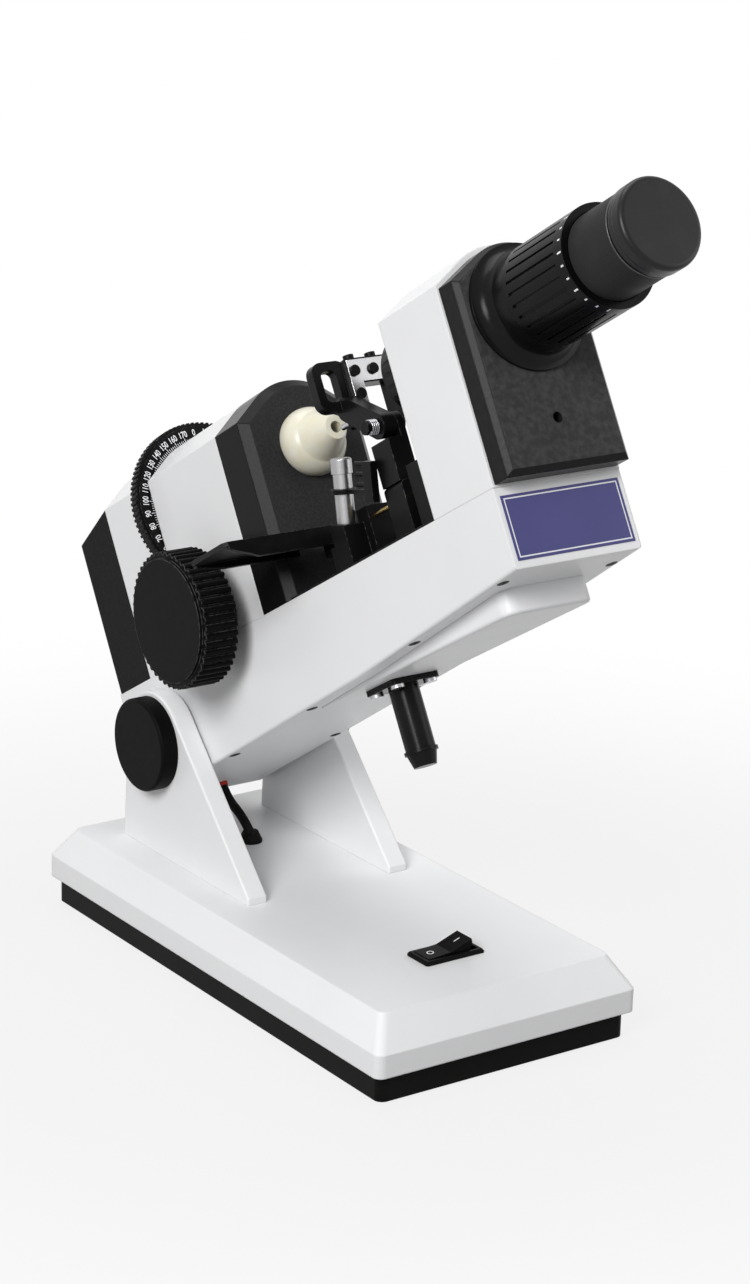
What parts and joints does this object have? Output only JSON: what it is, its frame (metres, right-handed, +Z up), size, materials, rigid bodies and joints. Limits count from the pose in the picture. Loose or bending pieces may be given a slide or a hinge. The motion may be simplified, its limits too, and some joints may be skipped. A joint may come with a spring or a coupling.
{
  "type": "manual lensmeter",
  "caption": "Manual lensmeter: tilting optical head on a bracketed base, with lens table, nose, lens holder, power knob, axis dial and focusing eyepiece.",
  "frame": {"origin": "centre of the base's footprint on the bench, at the underside of the rubber feet", "axes": "+Z up, the eyepiece looks towards -Y, the power knob is on the -X side, the tilt pivot's axis is along X"},
  "size_m": [0.152, 0.3898, 0.3877],
  "materials": {
    "white_shell": "satin paint, slightly textured",
    "black_tray": "matte moulded",
    "rubber": "matte",
    "screw_steel": "bright",
    "black_knob": "fine matte",
    "washer": "plain",
    "steel": "ground",
    "lead_black": "satin sheath",
    "black_grain": "fine grain",
    "black_metal": "black anodised, satin",
    "gloss_black": "semi gloss",
    "ivory": "ivory nylon",
    "scale_black": "black, white numbers",
    "glass": "clear",
    "target_glass": "green reticle",
    "lamp_glass": "lamp bulb and cap",
    "brass": "polished rod",
    "nickel": "nickel plate",
    "bed_iron": "black enamel",
    "inner_tube": "matt black inside tube"
  },
  "bodies": {
    "base": {"base_tray": "black_tray", "rubber_feet": "rubber", "base_cover": "white_shell", "base_screws": "screw_steel", "bracket_left": "white_shell", "bracket_right": "white_shell", "friction_washers": "washer", "switch_body": "gloss_black", "power_inlet": "gloss_black", "lead_grommet": "rubber", "lamp_lead": "lead_black"},
    "head": {"tilt_shaft": "steel", "beam": "white_shell", "belly_cover": "white_shell", "guide_tube": "black_metal", "flange_screws": "nickel", "rear_housing": "white_shell", "rear_cap": "black_grain", "front_bezel": "black_grain", "condenser_tube": "inner_tube", "condenser_lens": "glass", "lamp_house": "inner_tube", "lamp": "lamp_glass", "steel_rods": "steel", "nose": "ivory", "standard_lens": "glass", "tower": "white_shell", "top_plugs": "white_shell", "front_plate": "black_grain", "telescope_tube": "inner_tube", "objective_lens": "glass", "eyepiece_neck": "black_metal", "mechanism_bed": "bed_iron", "brass_rods": "brass", "marker_post": "nickel"},
    "left_clamp": {"tilt_knob_left": "black_knob"},
    "right_clamp": {"tilt_knob_right": "black_knob"},
    "power_drum": {"power_knob": "black_knob", "pinion_shaft": "steel"},
    "target_slide": {"target_carriage": "inner_tube"},
    "axis_wheel": {"axis_dial": "black_metal", "dial_scale": "scale_black"},
    "target": {"target_cell": "inner_tube", "target_plate": "target_glass"},
    "compensator": {"prism_ring": "black_metal"},
    "diopter": {"diopter_ring": "black_knob"},
    "ocular": {"eyepiece_barrel": "black_metal", "eyepiece_lenses": "glass"},
    "cap": {"dust_cap": "rubber"},
    "holder_slide": {"holder_carriage": "black_metal", "arm_pin": "steel", "arm_spring": "steel"},
    "holder": {"holder_arm": "black_metal", "holder_pins": "black_knob", "fork_plate": "nickel", "fork_screws": "steel"},
    "table": {"table_plate": "black_metal", "table_column": "steel"},
    "ink_arm": {"marker_arm": "black_metal"},
    "rocker": {"switch_rocker": "gloss_black"}
  },
  "joints": [
    {"name": "head_tilt", "type": "hinge", "parent": "base", "child": "head", "pos_m": [0, 0.082, 0.09], "axis": [-1, 0, 0], "range_deg": [-27, 59.5], "deforming": ["lamp_lead"]},
    {"name": "left_clamp_turn", "type": "hinge", "parent": "base", "child": "left_clamp", "pos_m": [-0.0475, 0.082, 0.09], "axis": [1, 0, 0], "range_deg": [0, 360]},
    {"name": "right_clamp_turn", "type": "hinge", "parent": "base", "child": "right_clamp", "pos_m": [0.0475, 0.082, 0.09], "axis": [-1, 0, 0], "range_deg": [0, 360]},
    {"name": "power_turn", "type": "hinge", "parent": "head", "child": "power_drum", "pos_m": [0, 0.04394, 0.16035], "axis": [1, 0, 0], "range_deg": [-110, 110]},
    {"name": "target_travel", "type": "slide", "parent": "head", "child": "target_slide", "axis": [0, -0.8616, 0.5075], "range_m": [-0.019, 0.019]},
    {"name": "axis_turn", "type": "hinge", "parent": "head", "child": "axis_wheel", "pos_m": [0, 0.13154, 0.17409], "axis": [0, -0.8616, 0.5075], "continuous": true},
    {"name": "target_turn", "type": "hinge", "parent": "target_slide", "child": "target", "pos_m": [0, 0.13154, 0.17409], "axis": [0, -0.8616, 0.5075], "continuous": true},
    {"name": "compensator_turn", "type": "hinge", "parent": "head", "child": "compensator", "pos_m": [0, 0.13154, 0.17409], "axis": [0, -0.8616, 0.5075], "continuous": true},
    {"name": "diopter_turn", "type": "hinge", "parent": "head", "child": "diopter", "pos_m": [0, 0.13154, 0.17409], "axis": [0, -0.8616, 0.5075], "range_deg": [-140, 140]},
    {"name": "ocular_travel", "type": "slide", "parent": "head", "child": "ocular", "axis": [0, -0.8616, 0.5075], "range_m": [-0.0024, 0.0024]},
    {"name": "cap_pull", "type": "slide", "parent": "ocular", "child": "cap", "axis": [0, -0.8616, 0.5075], "range_m": [0, 0.03]},
    {"name": "holder_travel", "type": "slide", "parent": "head", "child": "holder_slide", "axis": [0, 0.8616, -0.5075], "range_m": [0, 0.014]},
    {"name": "holder_lift", "type": "hinge", "parent": "holder_slide", "child": "holder", "pos_m": [-0.01675, -0.05439, 0.26434], "axis": [1, 0, 0], "range_deg": [0, 20], "stiffness_Nm_per_rad": 0.03, "springref_deg": -34.38, "deforming": ["arm_spring"]},
    {"name": "table_lift", "type": "slide", "parent": "head", "child": "table", "axis": [0, 0.5075, 0.8616], "range_m": [0, 0.024]},
    {"name": "ink_swing", "type": "hinge", "parent": "head", "child": "ink_arm", "pos_m": [-0.022, -0.03723, 0.21919], "axis": [0, -0.2079, -0.9781], "range_deg": [0, 75]},
    {"name": "rocker_press", "type": "hinge", "parent": "base", "child": "rocker", "pos_m": [0, -0.0875, 0.0345], "axis": [0, 1, 0], "range_deg": [0, 24]}
  ],
  "couplings": [
    {"joint": "power_turn", "follows": "target_travel", "rad_per_m": 100},
    {"joint": "target_turn", "follows": "axis_turn", "ratio": 1},
    {"joint": "diopter_turn", "follows": "ocular_travel", "rad_per_m": 1000}
  ]
}
